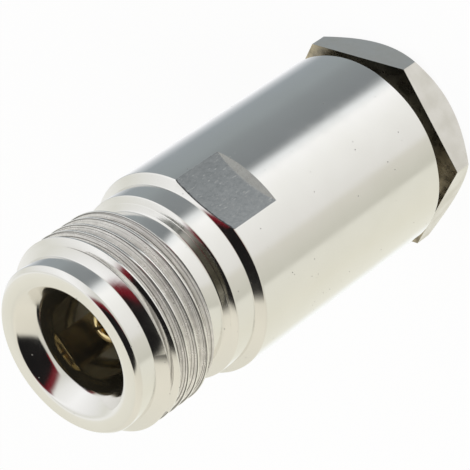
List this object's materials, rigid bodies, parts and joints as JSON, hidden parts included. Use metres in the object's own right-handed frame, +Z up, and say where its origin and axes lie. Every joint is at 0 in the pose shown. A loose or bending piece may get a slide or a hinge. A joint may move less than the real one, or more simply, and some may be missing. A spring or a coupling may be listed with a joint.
{
  "type": "n type connector",
  "caption": "Cable-mounted coaxial socket with an external coupling thread, slotted centre contact and a hexagonal clamp nut.",
  "frame": {"origin": "centre of the clamp nut's outer face, on the connector's axis, where it stands on the floor", "axes": "+Z up along the axis, towards the mating end; the wrench flats face -Y and +Y"},
  "size_m": [0.0172, 0.0184, 0.0386],
  "materials": {
    "nickel_plate": "bright nickel plate",
    "nut_nickel": "satin nickel plate",
    "plain_brass": "turned, unplated",
    "gold_plate": "gold plate",
    "ptfe": "white fluoropolymer",
    "gasket_rubber": "moulded"
  },
  "bodies": {
    "nut": {"clamp_nut": "nut_nickel"},
    "washer": {"thrust_washer": "plain_brass"},
    "shell": {"coupling_body": "nickel_plate", "centre_contact": "gold_plate", "front_insulator": "ptfe", "rear_insulator": "ptfe", "braid_clamp": "plain_brass", "seal_gasket": "gasket_rubber"}
  },
  "joints": [
    {"name": "nut_turn", "type": "hinge", "parent": "nut", "child": "washer", "pos_m": [0, 0, 0.005], "axis": [0, 0, 1], "range_deg": [-451, 2251]},
    {"name": "nut_travel", "type": "slide", "parent": "washer", "child": "shell", "axis": [0, 0, 1], "range_m": [-0.00125, 0.00625]}
  ],
  "couplings": [
    {"joint": "nut_turn", "follows": "nut_travel", "rad_per_m": 6283.2}
  ]
}
